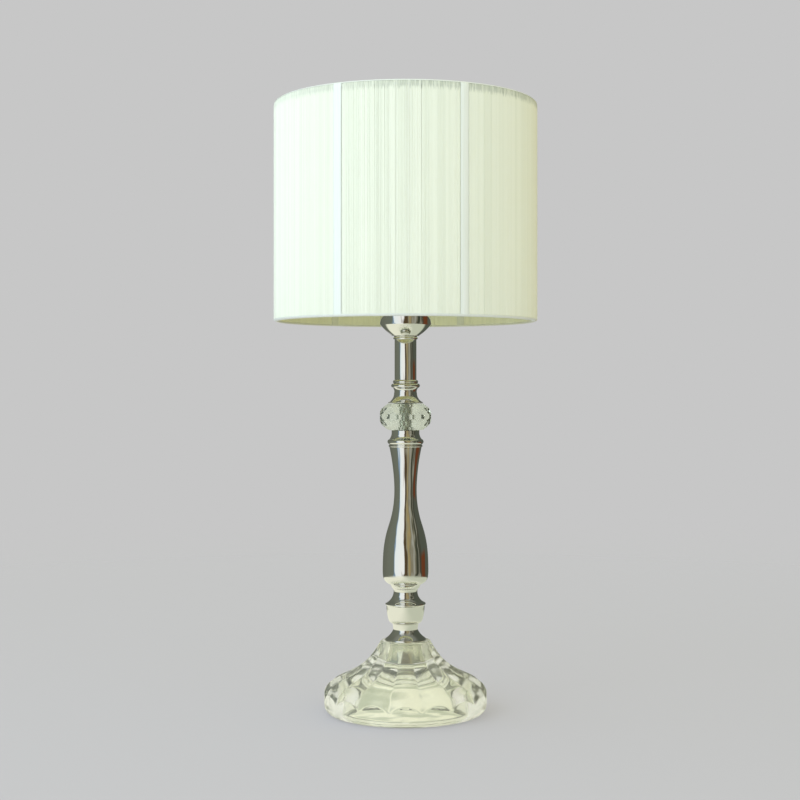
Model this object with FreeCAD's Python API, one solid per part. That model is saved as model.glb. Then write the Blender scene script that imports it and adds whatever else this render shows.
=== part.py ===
import FreeCAD, Part
import math
import os
from FreeCAD import Vector

# Candlestick table lamp. Millimetres; z = 0 is the table, the stem stands on the Z axis, the front is -Y.

# Driving dimensions of the whole lamp
TOTAL_HEIGHT = 576.0
SHADE_DIAMETER = 250.0
SHADE_HEIGHT = 206.0
FOOT_DIAMETER = 154.0
BELLY_DIAMETER = 43.5
CRYSTAL_DIAMETER = 49.0
TUBE_DIAMETER = 20.8
CUP_DIAMETER = 48.6

# Standard parts: M10 x 1 lamp pipe and E27 lampholder
PIPE_RADIUS = 5.0
PIPE_BORE = 4.0
CAST_BORE = 5.3
LAMP_SHELL_BORE = 13.3
HOLDER_THREAD = 19.9
RUNNING_GAP = 0.1

# Heights of the turned pieces, stacked on the glass foot from the bottom up
FOOT_HEIGHT = 68.0
SEAT_HEIGHT = 66.0
GASKET_THICKNESS = 0.7
FERRULE_HEIGHT = 17.0
KNOB_HEIGHT = 30.3
BALUSTER_HEIGHT = 137.4
COLLAR_HEIGHT = 15.8
WASHER_THICKNESS = 0.4
CRYSTAL_HEIGHT = 25.0
SPOOL_HEIGHT = 22.0
TUBE_HEIGHT = 38.4
NECK_RING_HEIGHT = 3.3
CUP_HEIGHT = 32.0

BELL_TOP_Z = SEAT_HEIGHT + 0.2
BELL_SHEET = 0.8
PIPE_BOTTOM_Z = 52.0
FERRULE_Z = SEAT_HEIGHT + GASKET_THICKNESS
KNOB_Z = FERRULE_Z + FERRULE_HEIGHT
BALUSTER_Z = KNOB_Z + KNOB_HEIGHT
COLLAR_Z = BALUSTER_Z + BALUSTER_HEIGHT
CRYSTAL_Z = COLLAR_Z + COLLAR_HEIGHT + WASHER_THICKNESS
SPOOL_Z = CRYSTAL_Z + CRYSTAL_HEIGHT + WASHER_THICKNESS
TUBE_Z = SPOOL_Z + SPOOL_HEIGHT
NECK_RING_Z = TUBE_Z + TUBE_HEIGHT
CUP_Z = NECK_RING_Z + NECK_RING_HEIGHT

# Glass foot: 16 flutes; each station is (height, radius on the crest of a flute, how far the valley lies inside)
FLUTES = 16
FOOT_STATIONS = [
    (69.0, 22.6, 0.0),
    (60.0, 27.9, 0.3),
    (52.0, 33.9, 1.0),
    (45.0, 41.5, 1.9),
    (37.5, 52.9, 3.4),
    (31.5, 65.4, 4.2),
    (26.0, 73.6, 3.2),
    (20.0, 77.0, 2.4),
    (11.0, 80.2, 2.2),
    (-1.0, 84.0, 2.2),
]
RIM_ROUNDING = 8.0
NECK_OPENING = 16.3
LEDGE_HEIGHT = 45.6
STANDING_INNER_RADIUS = 59.0
CORD_NOTCH_WIDTH = 8.0

# Cut crystal: five rows of flat facets, tangent to an oval
FACETS_AROUND = 12
FACET_ROW_ANGLES = [-42.0, -21.0, 0.0, 21.0, 42.0]
OVAL_HEIGHT = 34.0

# Lampholder, bulb and shade carrier
HOLDER_CAP_Z = 362.8
HOLDER_SLEEVE_Z = 386.8
CORE_TOP_Z = 393.0
FLANGE_Z = 398.0
HOLDER_TOP_Z = 421.0
CARRIER_THICKNESS = 1.6
BULB_Z = 396.0
BULB_RADIUS = 30.0
BULB_TOP_Z = 500.0

# String shade
RING_WIRE = 1.75
RING_RADIUS = SHADE_DIAMETER / 2 - 2.8
STRING_THICKNESS = 0.7
TURN_RADIUS = 2.6
TRIM_THICKNESS = 0.3
TOP_RING_Z = TOTAL_HEIGHT - TRIM_THICKNESS - TURN_RADIUS
BOTTOM_RING_Z = TOTAL_HEIGHT - SHADE_HEIGHT + TRIM_THICKNESS + TURN_RADIUS
STRUT_WIDTH = 4.6
FRONT = -90.0
STRUT_ANGLES = [FRONT + a for a in (-86.0, -28.7, 24.6, 88.0, 152.0, 216.6)]
ARM_ANGLES = STRUT_ANGLES[::2]
ARM_RADIUS = 1.5

UP = Vector(0, 0, 1)
ORIGIN = Vector(0, 0, 0)


def turned(start, *moves):
    """A solid turned about Z. start and each move are (radius, height) points.

    A move of one point is a straight run, of two points an arc through the first to the second,
    and of more points one smooth curve through them all. The outline closes with a straight run.
    """
    here = Vector(start[0], 0, start[1])
    first = here
    edges = []
    for move in moves:
        points = [Vector(r, 0, z) for r, z in move]
        if len(points) == 1:
            edges.append(Part.makeLine(here, points[0]))
        elif len(points) == 2:
            edges.append(Part.Arc(here, points[0], points[1]).toShape())
        else:
            curve = Part.BSplineCurve()
            curve.interpolate([here] + points)
            edges.append(curve.toShape())
        here = points[-1]
    if here.distanceToPoint(first) > 1e-6:
        edges.append(Part.makeLine(here, first))
    face = Part.Face(Part.Wire(edges))
    return face.revolve(ORIGIN, UP, 360)


def raised(z, *points):
    """Points given from a piece's own base, lifted to height z."""
    return [(r, z + h) for r, h in points]


def washer(outer, inner, z, thickness):
    ring = Part.makeCylinder(outer, thickness, Vector(0, 0, z))
    return ring.cut(Part.makeCylinder(inner, thickness, Vector(0, 0, z)))


def polygon(sides, apothem, z, turn):
    """A regular polygon as a wire, by the distance from its centre to its sides."""
    corner = apothem / math.cos(math.pi / sides)
    angles = [math.radians(turn) + 2 * math.pi * (i + 0.5) / sides for i in range(sides)]
    points = [Vector(corner * math.cos(a), corner * math.sin(a), z) for a in angles]
    return Part.makePolygon(points + points[:1])


def hex_nut(across_flats, height, z):
    """A chamfered hexagon nut on the lamp pipe."""
    blank = Part.Face(polygon(6, across_flats / 2, z, 0)).extrude(Vector(0, 0, height))
    corner = across_flats / 2 / math.cos(math.pi / 6)
    chamfer = corner - across_flats / 2
    barrel = turned(
        (PIPE_RADIUS, z),
        [(across_flats / 2, z)],
        [(corner, z + chamfer / 2)],
        [(corner, z + height - chamfer / 2)],
        [(across_flats / 2, z + height)],
        [(PIPE_RADIUS, z + height)],
    )
    return blank.common(barrel)


# Glass foot and what clamps the stem to it


def fluted_section(z, crest, inset):
    """One level of the fluted outside: 16 arcs that meet in valleys."""
    step = 2 * math.pi / FLUTES
    edges = []
    for i in range(FLUTES):
        middle = -math.pi / 2 + i * step
        points = []
        for angle, radius in (
            (middle - step / 2, crest - inset),
            (middle, crest),
            (middle + step / 2, crest - inset),
        ):
            points.append(Vector(radius * math.cos(angle), radius * math.sin(angle), z))
        edges.append(Part.Arc(*points).toShape())
    return Part.Wire(edges)


def glass_foot():
    """Pressed glass: a fluted trumpet on a smooth rim, hollow below, with a seat for the stem."""
    flutes = Part.makeLoft([fluted_section(*s) for s in FOOT_STATIONS], True, False)
    rim = FOOT_DIAMETER / 2
    envelope = turned(
        (0, 0),
        [(rim - RIM_ROUNDING, 0)],
        [(rim - 0.29 * RIM_ROUNDING, 0.29 * RIM_ROUNDING), (rim, RIM_ROUNDING)],
        [(rim, 62)],
        [(30, 62)],
        [(24.2, 65.8)],
        [(23.4, 67.4), (21.8, FOOT_HEIGHT)],
        [(0, FOOT_HEIGHT)],
    )
    cavity = turned(
        (0, FOOT_HEIGHT),
        [(NECK_OPENING, FOOT_HEIGHT)],
        [(NECK_OPENING, 61.0)],
        [(17.3, 54.0), (19.3, LEDGE_HEIGHT)],
        [(22.2, LEDGE_HEIGHT)],
        [(23.0, 44.2), (28.0, 41.0), (42.0, 34.8), (52.0, 28.0), (56.6, 18.0), (58.0, 9.0)],
        [(STANDING_INNER_RADIUS, 0)],
        [(STANDING_INNER_RADIUS, -1)],
        [(0, -1)],
    )
    seat = Part.makeCylinder(19.9, FOOT_HEIGHT, Vector(0, 0, SEAT_HEIGHT))
    return flutes.common(envelope).cut(cavity).cut(seat).cut(cord_notch())


def cord_notch():
    """A round-topped way for the cord under the back of the rim."""
    half = CORD_NOTCH_WIDTH / 2
    reach = FOOT_DIAMETER / 2
    slot = Part.makeBox(CORD_NOTCH_WIDTH, reach, half, Vector(-half, 40, -1))
    arch = Part.makeCylinder(half, reach, Vector(0, 40, half - 1), Vector(0, 1, 0))
    return slot.fuse(arch)


def foot_gasket():
    return washer(18.6, 16.5, SEAT_HEIGHT, GASKET_THICKNESS)


def cone_gasket():
    return washer(21.3, 19.0, LEDGE_HEIGHT - GASKET_THICKNESS, GASKET_THICKNESS)


def inner_cone():
    """A spun bell of bright sheet in the glass neck; its flange bears up on a ledge in the glass."""
    flange = LEDGE_HEIGHT - GASKET_THICKNESS
    inside = BELL_TOP_Z - BELL_SHEET
    return turned(
        (CAST_BORE, BELL_TOP_Z),
        [(13.9, BELL_TOP_Z)],
        [(15.0, BELL_TOP_Z - 0.5), (15.4, BELL_TOP_Z - 1.6)],
        [(16.3, 55.0), (18.5, flange + 1.0)],
        [(18.8, flange)],
        [(21.3, flange)],
        [(21.3, flange - BELL_SHEET)],
        [(18.0, flange - BELL_SHEET)],
        [(17.7, flange + 0.8)],
        [(15.5, 55.0), (14.6, inside - 1.0)],
        [(14.3, inside - 0.3), (13.6, inside)],
        [(CAST_BORE, inside)],
    )


def base_washer():
    return washer(11.0, CAST_BORE, BELL_TOP_Z - BELL_SHEET - 1.6, 1.6)


def base_nut():
    return hex_nut(15.0, 6.0, BELL_TOP_Z - BELL_SHEET - 7.6)


def threaded_pipe():
    top = HOLDER_CAP_Z + 9.0
    return washer(PIPE_RADIUS, PIPE_BORE, PIPE_BOTTOM_Z, top - PIPE_BOTTOM_Z)


def pipe_bushing():
    """A plastic bush in the mouth of the pipe, flared so that it doesn't chafe the cord."""
    mouth = PIPE_BOTTOM_Z
    return turned(
        (3.2, mouth + 6.0),
        [(PIPE_BORE, mouth + 6.0)],
        [(PIPE_BORE, mouth)],
        [(6.8, mouth)],
        [(6.8, mouth - 2.0)],
        [(6.4, mouth - 2.9), (5.4, mouth - 3.2)],
        [(4.4, mouth - 3.2)],
        [(3.5, mouth - 2.9), (3.2, mouth - 2.0)],
    )


# Turned and polished pieces of the stem


def base_ferrule():
    """A trumpet foot with a thick rolled rim, necking in under the knob."""
    return turned(
        (CAST_BORE, FERRULE_Z),
        [(18.0, FERRULE_Z)],
        raised(FERRULE_Z, (19.4, 1.7), (18.6, 3.2)),
        raised(FERRULE_Z, (14.3, 7.0), (11.6, 11.2)),
        raised(FERRULE_Z, (11.7, 13.2), (12.4, FERRULE_HEIGHT)),
        [(CAST_BORE, KNOB_Z)],
    )


def knob_link():
    """A cup-shaped knob with a sharp rim, and a hollow neck that runs up to the baluster."""
    return turned(
        (CAST_BORE, KNOB_Z),
        [(12.4, KNOB_Z)],
        raised(KNOB_Z, (14.9, 1.6), (16.5, 4.8)),
        raised(KNOB_Z, (17.6, 10.0), (18.2, 17.4)),
        raised(KNOB_Z, (19.1, 18.2)),
        raised(KNOB_Z, (19.1, 19.4)),
        raised(KNOB_Z, (13.7, 23.4), (11.3, KNOB_HEIGHT)),
        [(CAST_BORE, BALUSTER_Z)],
    )


def baluster_outline(inset):
    """The long vase curve from the belly to the collar, set in by the wall's thickness."""
    belly = BELLY_DIAMETER / 2
    curve = [
        (belly - 0.2, 31.0),
        (belly - 1.6, 46.0),
        (belly - 4.3, 58.2),
        (belly - 7.3, 68.0),
        (belly - 10.2, 82.0),
        (belly - 11.1, 96.0),
        (belly - 10.1, 114.0),
        (belly - 8.2, 128.0),
        (belly - 6.4, 137.4),
    ]
    return [(r - inset, h) for r, h in curve]


def baluster():
    """The hollow vase-shaped middle of the stem, with two turned steps above its neck."""
    belly = BELLY_DIAMETER / 2
    wall = 1.5
    outside = turned(
        (CAST_BORE, BALUSTER_Z),
        [(11.3, BALUSTER_Z)],
        raised(BALUSTER_Z, (11.5, 1.8), (12.1, 3.2)),
        raised(BALUSTER_Z, (12.9, 3.4)),
        raised(BALUSTER_Z, (13.7, 5.4), (15.1, 7.3)),
        raised(BALUSTER_Z, (16.0, 7.4)),
        raised(BALUSTER_Z, (19.7, 10.4), (belly - 0.3, 14.2)),
        raised(BALUSTER_Z, (belly, 18.0), (belly, 24.0), *baluster_outline(0)),
        [(CAST_BORE, COLLAR_Z)],
    )
    hollow = turned(
        (CAST_BORE, BALUSTER_Z + 16.0),
        raised(BALUSTER_Z, (belly - 4.0, 16.0)),
        raised(BALUSTER_Z, (belly - wall, 20.0), *baluster_outline(wall)[:-1]),
        raised(BALUSTER_Z, (CAST_BORE, 128.0)),
    )
    return outside.cut(hollow)


def crystal_collar():
    """A beaded collar that the crystal stands on."""
    return turned(
        (CAST_BORE, COLLAR_Z),
        [(15.7, COLLAR_Z)],
        raised(COLLAR_Z, (16.2, 0.8), (15.7, 1.7)),
        raised(COLLAR_Z, (15.3, 2.3)),
        raised(COLLAR_Z, (17.2, 4.9), (15.3, 7.5)),
        raised(COLLAR_Z, (13.9, 9.9), (13.2, 12.8)),
        raised(COLLAR_Z, (13.2, COLLAR_HEIGHT)),
        raised(COLLAR_Z, (CAST_BORE, COLLAR_HEIGHT)),
    )


def crystal_washers():
    """Two clear washers that keep the crystal off the metal."""
    below = washer(11.0, CAST_BORE, CRYSTAL_Z - WASHER_THICKNESS, WASHER_THICKNESS)
    above = washer(11.0, CAST_BORE, CRYSTAL_Z + CRYSTAL_HEIGHT, WASHER_THICKNESS)
    return Part.makeCompound([below, above])


def facet_row(angle, turn):
    """The block that one row of facets leaves: planes tangent to the crystal's oval section."""
    half_width = CRYSTAL_DIAMETER / 2 - 0.3
    half_height = OVAL_HEIGHT / 2
    t = math.radians(angle)
    slope = math.tan(t) * half_width / half_height
    levels = []
    for h in (-CRYSTAL_HEIGHT / 2, CRYSTAL_HEIGHT / 2):
        apothem = half_width * math.cos(t) + (half_height * math.sin(t) - h) * slope
        z = CRYSTAL_Z + CRYSTAL_HEIGHT / 2 + h
        levels.append(polygon(FACETS_AROUND, apothem, z, turn))
    return Part.makeLoft(levels, True, True)


def crystal():
    """Clear crystal cut with rows of flat facets, each row turned half a facet from the next."""
    half_facet = 180.0 / FACETS_AROUND
    stone = facet_row(FACET_ROW_ANGLES[0], 0)
    for i, angle in enumerate(FACET_ROW_ANGLES[1:], 1):
        stone = stone.common(facet_row(angle, half_facet * (i % 2)))
    return stone.cut(Part.makeCylinder(CAST_BORE, TOTAL_HEIGHT))


def spool():
    """A waisted spool: a flared skirt on the crystal, a bead, a ring and a spigot for the tube."""
    return turned(
        (CAST_BORE, SPOOL_Z),
        [(16.2, SPOOL_Z)],
        raised(SPOOL_Z, (16.6, 0.4), (16.2, 0.9)),
        raised(SPOOL_Z, (12.4, 4.2), (10.9, 9.4)),
        raised(SPOOL_Z, (11.0, 12.8), (12.3, 14.6)),
        raised(SPOOL_Z, (13.7, 16.6), (12.3, 18.4)),
        raised(SPOOL_Z, (11.2, 18.7)),
        raised(SPOOL_Z, (12.0, 20.4), (10.6, SPOOL_HEIGHT)),
        raised(SPOOL_Z, (9.35, SPOOL_HEIGHT)),
        raised(SPOOL_Z, (9.35, SPOOL_HEIGHT + 4)),
        raised(SPOOL_Z, (CAST_BORE, SPOOL_HEIGHT + 4)),
    )


def neck_tube():
    return washer(TUBE_DIAMETER / 2, 9.4, TUBE_Z, TUBE_HEIGHT)


def neck_ring():
    """The ring under the cup, with a spigot down into the tube."""
    return turned(
        (CAST_BORE, NECK_RING_Z - 4),
        [(9.35, NECK_RING_Z - 4)],
        [(9.35, NECK_RING_Z)],
        [(11.1, NECK_RING_Z)],
        raised(NECK_RING_Z, (11.6, 1.1), (11.2, 2.3)),
        raised(NECK_RING_Z, (10.9, 2.6)),
        [(10.9, CUP_Z)],
        [(CAST_BORE, CUP_Z)],
    )


def socket_cup():
    """A spun cup round the foot of the lampholder, 1 mm thick."""
    outer = CUP_DIAMETER / 2
    return turned(
        (CAST_BORE, CUP_Z),
        [(12.2, CUP_Z)],
        raised(CUP_Z, (12.9, 0.2), (13.4, 0.8)),
        raised(CUP_Z, (20.1, 6.1), (outer - 0.3, 10.6)),
        raised(CUP_Z, (outer, 11.6)),
        raised(CUP_Z, (outer, CUP_HEIGHT - 0.5)),
        raised(CUP_Z, (outer - 0.5, CUP_HEIGHT), (outer - 1, CUP_HEIGHT - 0.5)),
        raised(CUP_Z, (outer - 1, 12.0)),
        raised(CUP_Z, (19.3, 7.0), (12.7, 1.8)),
        raised(CUP_Z, (9.5, 1.4)),
        raised(CUP_Z, (CAST_BORE, 1.4)),
    )


def cup_nut():
    return hex_nut(14.0, 4.0, CUP_Z + 1.4)


# Lampholder for a bulb with an E27 cap


def holder_cap():
    """The lower half of the holder, screwed on to the pipe."""
    return turned(
        (PIPE_RADIUS, HOLDER_CAP_Z),
        [(8.6, HOLDER_CAP_Z)],
        raised(HOLDER_CAP_Z, (8.6, 3.0)),
        raised(HOLDER_CAP_Z, (16.6, 7.2), (19.4, 15.0)),
        [(19.4, HOLDER_SLEEVE_Z)],
        [(17.8, HOLDER_SLEEVE_Z)],
        raised(HOLDER_CAP_Z, (17.8, 15.2)),
        raised(HOLDER_CAP_Z, (15.2, 8.8), (8.6, 6.0)),
        raised(HOLDER_CAP_Z, (8.6, 9.0)),
        raised(HOLDER_CAP_Z, (PIPE_RADIUS, 9.0)),
    )


def holder_sleeve():
    """The upper half of the holder: a flange that carries the shade, and a threaded barrel."""
    return turned(
        (17.8, HOLDER_SLEEVE_Z),
        [(19.4, HOLDER_SLEEVE_Z)],
        [(19.4, 393.0)],
        [(22.6, 395.6)],
        [(23.2, 396.2)],
        [(23.2, FLANGE_Z)],
        [(HOLDER_THREAD, FLANGE_Z)],
        [(HOLDER_THREAD, HOLDER_TOP_Z - 1)],
        [(HOLDER_THREAD - 1, HOLDER_TOP_Z)],
        [(14.9, HOLDER_TOP_Z)],
        [(14.9, HOLDER_TOP_Z - 1.6)],
        [(17.8, HOLDER_TOP_Z - 1.6)],
    )


def holder_core():
    """The ceramic block that carries the contacts, with a collar round the foot of the shell."""
    block = Part.makeCylinder(17.4, CORE_TOP_Z - HOLDER_SLEEVE_Z, Vector(0, 0, HOLDER_SLEEVE_Z))
    collar = washer(16.6, 13.8, CORE_TOP_Z, 12.0)
    return block.fuse(collar).removeSplitter()


def lamp_shell():
    """The metal shell that the bulb's cap screws into."""
    return turned(
        (10.2, CORE_TOP_Z),
        [(13.8, CORE_TOP_Z)],
        [(13.8, HOLDER_TOP_Z - 4.2)],
        [(LAMP_SHELL_BORE, HOLDER_TOP_Z - 4.2)],
        [(LAMP_SHELL_BORE, CORE_TOP_Z + 0.5)],
        [(10.2, CORE_TOP_Z + 0.5)],
    )


def centre_contact():
    """A bent spring tongue that presses on the tip of the bulb."""
    z = CORE_TOP_Z
    side = [
        (-9.4, z),
        (-9.4, z + 0.5),
        (-6.6, z + 0.5),
        (-2.6, BULB_Z - 0.3),
        (3.2, BULB_Z),
        (3.2, BULB_Z - 0.5),
        (-2.4, BULB_Z - 0.8),
        (-6.4, z),
    ]
    points = [Vector(x, -3, h) for x, h in side]
    return Part.Face(Part.makePolygon(points + points[:1])).extrude(Vector(0, 6, 0))


def terminal_screws():
    """The two screws under the core that clamp the wires."""
    screws = []
    for x in (-10.0, 10.0):
        head = turned((0, -3.2), [(1.9, -3.0), (3.0, -1.9)], [(3.0, 0)], [(0, 0)])
        head.translate(Vector(x, 0, HOLDER_SLEEVE_Z))
        screws.append(head)
    return Part.makeCompound(screws)


# Bulb


def bulb_tip():
    return turned((0, BULB_Z), [(3.4, BULB_Z)], [(4.6, BULB_Z + 1.2)], [(0, BULB_Z + 1.2)])


def bulb_insulator():
    return turned(
        (0, BULB_Z + 1.2),
        [(5.6, BULB_Z + 1.2)],
        [(10.4, BULB_Z + 4.6)],
        [(0, BULB_Z + 4.6)],
    )


def bulb_cap():
    """The screw cap, of thin sheet, with its skirt round the neck of the glass."""
    return turned(
        (0, BULB_Z + 4.6),
        [(10.4, BULB_Z + 4.6)],
        [(12.4, BULB_Z + 5.2), (13.0, BULB_Z + 7.0)],
        [(13.0, BULB_Z + 21.5)],
        [(14.3, BULB_Z + 23.5)],
        [(14.3, BULB_Z + 28.0)],
        [(13.7, BULB_Z + 28.0)],
        [(13.7, BULB_Z + 23.8)],
        [(12.4, BULB_Z + 21.8)],
        [(12.4, BULB_Z + 7.2)],
        [(12.0, BULB_Z + 5.6), (10.4, BULB_Z + 5.2)],
        [(0, BULB_Z + 5.2)],
    )


def bulb_glass():
    """The opal envelope: a thin blown shell, open at its neck."""
    wall = 0.8
    z = BULB_Z
    outside = [(14.8, 33.5), (18.6, 42.0), (26.6, 55.0), (BULB_RADIUS, 69.0)]
    inside = [(r - wall, h) for r, h in reversed(outside)]
    top = BULB_TOP_Z - z
    crown = [(26.6, top - 15.0), (15.4, top - 4.2), (0, top)]
    hollow_crown = [(14.9, top - 4.9), (25.8, top - 15.4), inside[0]]
    return turned(
        (13.6, z + 24.0),
        raised(z, (13.6, 28.6)),
        raised(z, *outside),
        raised(z, *crown),
        raised(z, (0, top - wall)),
        raised(z, *hollow_crown),
        raised(z, *inside[1:], (12.8, 28.6)),
        raised(z, (12.8, 24.0)),
    )


# What carries the shade


def shade_ring():
    """The threaded ring that clamps the shade's carrier down on the holder's flange."""
    z = FLANGE_Z + CARRIER_THICKNESS
    bore = HOLDER_THREAD + RUNNING_GAP
    return turned(
        (bore, z),
        [(27.5, z)],
        [(27.5, z + 1.4)],
        [(24.2, z + 1.9), (22.9, z + 4.6)],
        [(22.9, z + 7.2)],
        [(22.1, z + 8.0)],
        [(bore, z + 8.0)],
    )


def carrier_ring():
    """The flat ring of the shade frame that sits on the holder."""
    return washer(26.0, 20.3, FLANGE_Z, CARRIER_THICKNESS)


def carrier_arms():
    """Three wires from the carrier ring to every second strut."""
    z = FLANGE_Z - ARM_RADIUS + 0.15
    ring = carrier_ring()
    uprights = struts()
    arms = []
    for angle in ARM_ANGLES:
        wire = Part.makeCylinder(ARM_RADIUS, RING_RADIUS - 24.4, Vector(24.4, 0, z), Vector(1, 0, 0))
        wire.rotate(ORIGIN, UP, angle)
        arms.append(wire.cut(ring).cut(uprights))
    return Part.makeCompound(arms)


# String shade


def ring(z):
    return Part.makeTorus(RING_RADIUS, RING_WIRE, Vector(0, 0, z))


def struts():
    """Six ribbon-wrapped uprights of oval section, welded between the two rings."""
    depth = 2.05
    base = Vector(SHADE_DIAMETER / 2 - depth, 0, BOTTOM_RING_Z)
    oval = Part.Ellipse(base + Vector(0, STRUT_WIDTH / 2, 0), base + Vector(depth, 0, 0), base)
    upright = Part.Face(Part.Wire(oval.toShape())).extrude(Vector(0, 0, TOP_RING_Z - BOTTOM_RING_Z))
    upright = upright.cut(ring(BOTTOM_RING_Z)).cut(ring(TOP_RING_Z))
    pieces = []
    for angle in STRUT_ANGLES:
        piece = upright.copy()
        piece.rotate(ORIGIN, UP, angle)
        pieces.append(piece)
    return Part.makeCompound(pieces)


def racetrack(radius):
    """A band round both rings, in section: half turns over the wires, joined by straight sides."""
    return [
        (RING_RADIUS, TOP_RING_Z + radius),
        (RING_RADIUS + radius, TOP_RING_Z),
        (RING_RADIUS + radius, BOTTOM_RING_Z),
        (RING_RADIUS, BOTTOM_RING_Z - radius),
        (RING_RADIUS - radius, BOTTOM_RING_Z),
        (RING_RADIUS - radius, TOP_RING_Z),
    ]


def band_solid(radius):
    """The space inside a racetrack band, turned about Z."""
    top, right_top, right_bottom, bottom, left_bottom, left_top = racetrack(radius)
    return turned(
        left_top,
        [top, right_top],
        [right_bottom],
        [bottom, left_bottom],
    )


def string_panels():
    """The string, wound close over both rings: six panels, parted by the struts."""
    winding = band_solid(TURN_RADIUS).cut(band_solid(TURN_RADIUS - STRING_THICKNESS))
    slot_width = STRUT_WIDTH + 0.4
    for angle in STRUT_ANGLES:
        slot = Part.makeBox(20, slot_width, TOTAL_HEIGHT, Vector(RING_RADIUS - 10, -slot_width / 2, 0))
        slot.rotate(ORIGIN, UP, angle)
        winding = winding.cut(slot)
    return winding


def trim(ring_z, start, end):
    """A narrow tape over the turn of the string, from one angle of the section to another."""
    def at(radius, degrees):
        a = math.radians(degrees)
        return (RING_RADIUS + radius * math.cos(a), ring_z + radius * math.sin(a))

    outer = TURN_RADIUS + TRIM_THICKNESS
    middle = (start + end) / 2
    return turned(
        at(TURN_RADIUS, start),
        [at(outer, start)],
        [at(outer, middle), at(outer, end)],
        [at(TURN_RADIUS, end)],
        [at(TURN_RADIUS, middle), at(TURN_RADIUS, start)],
    )


NODES = {
    "base_glass": glass_foot,
    "foot_gasket": foot_gasket,
    "cone_gasket": cone_gasket,
    "inner_cone": inner_cone,
    "base_washer": base_washer,
    "base_nut": base_nut,
    "threaded_pipe": threaded_pipe,
    "pipe_bushing": pipe_bushing,
    "base_ferrule": base_ferrule,
    "knob_link": knob_link,
    "baluster": baluster,
    "crystal_collar": crystal_collar,
    "crystal_washers": crystal_washers,
    "crystal": crystal,
    "spool": spool,
    "neck_tube": neck_tube,
    "neck_ring": neck_ring,
    "socket_cup": socket_cup,
    "cup_nut": cup_nut,
    "holder_cap": holder_cap,
    "holder_sleeve": holder_sleeve,
    "holder_core": holder_core,
    "lamp_shell": lamp_shell,
    "centre_contact": centre_contact,
    "terminal_screws": terminal_screws,
    "bulb_tip": bulb_tip,
    "bulb_insulator": bulb_insulator,
    "bulb_cap": bulb_cap,
    "bulb_glass": bulb_glass,
    "shade_ring": shade_ring,
    "carrier_ring": carrier_ring,
    "carrier_arms": carrier_arms,
    "top_ring": lambda: ring(TOP_RING_Z),
    "bottom_ring": lambda: ring(BOTTOM_RING_Z),
    "struts": struts,
    "string_panels": string_panels,
    "top_trim": lambda: trim(TOP_RING_Z, 145, 35),
    "bottom_trim": lambda: trim(BOTTOM_RING_Z, -15, -145),
}

os.makedirs("parts", exist_ok=True)
for name, make in NODES.items():
    shape = make()
    print(f"{name}: {len(shape.Solids)} solids, {shape.Volume / 1000:.2f} cm3, valid {shape.isValid()}")
    shape.exportStep(f"parts/{name}.step")
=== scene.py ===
import math
import bpy
import numpy as np
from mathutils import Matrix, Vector


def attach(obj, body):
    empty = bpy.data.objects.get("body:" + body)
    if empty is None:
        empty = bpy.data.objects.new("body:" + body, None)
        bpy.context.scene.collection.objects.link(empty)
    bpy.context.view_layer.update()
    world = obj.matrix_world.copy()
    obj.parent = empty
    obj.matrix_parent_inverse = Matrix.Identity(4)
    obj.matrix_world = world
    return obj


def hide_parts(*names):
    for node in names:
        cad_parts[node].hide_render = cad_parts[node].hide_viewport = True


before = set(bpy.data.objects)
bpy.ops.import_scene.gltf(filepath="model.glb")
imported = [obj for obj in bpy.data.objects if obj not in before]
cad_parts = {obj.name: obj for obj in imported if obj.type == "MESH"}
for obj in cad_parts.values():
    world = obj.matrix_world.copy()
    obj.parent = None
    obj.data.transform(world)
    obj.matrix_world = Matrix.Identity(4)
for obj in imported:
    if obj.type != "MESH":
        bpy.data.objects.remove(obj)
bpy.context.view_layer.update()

MM = 0.001


# ---------------------------------------------------------------------------
# Glass foot: one heavy pressing of slightly green soda glass. Sixteen round
# flutes run down the trumpet, meet in sharp valleys and fade out in a
# scalloped line on the smooth rim. It stands on a flat ring round a hollow.
FLUTES = 16
# Each station: its height, the radius at the crests and the depth of the valleys, in millimetres.
FOOT_STATIONS = [
    (69.0, 22.6, 0.0),
    (60.0, 27.9, 0.3),
    (52.0, 33.9, 1.0),
    (45.0, 41.5, 1.9),
    (37.5, 52.9, 3.4),
    (31.5, 65.4, 4.2),
    (26.0, 73.6, 3.2),
    (20.0, 77.0, 2.4),
    (11.0, 80.2, 2.2),
    (-1.0, 84.0, 2.2),
]


def through(points, step):
    """Points along one smooth curve through the given points."""
    p = np.array(points, float)
    length = np.concatenate([[0], np.cumsum(np.linalg.norm(np.diff(p, axis=0), axis=1))])
    span = np.diff(length)
    count = len(p)
    weights = np.eye(count)
    turns = np.zeros((count, p.shape[1]))
    for i in range(1, count - 1):
        weights[i, i - 1 : i + 2] = span[i - 1], 2 * (span[i - 1] + span[i]), span[i]
        turns[i] = 6 * ((p[i + 1] - p[i]) / span[i] - (p[i] - p[i - 1]) / span[i - 1])
    bend = np.linalg.solve(weights, turns)
    curve = []
    for s in np.linspace(0, length[-1], max(5, int(length[-1] / step)))[1:]:
        i = min(int(np.searchsorted(length, s)) - 1, count - 2)
        h, a, b = span[i], length[i + 1] - s, s - length[i]
        point = (bend[i] * a**3 + bend[i + 1] * b**3) / (6 * h)
        point += (p[i] / h - bend[i] * h / 6) * a + (p[i + 1] / h - bend[i + 1] * h / 6) * b
        curve.append(Vector(point))
    return curve


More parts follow.
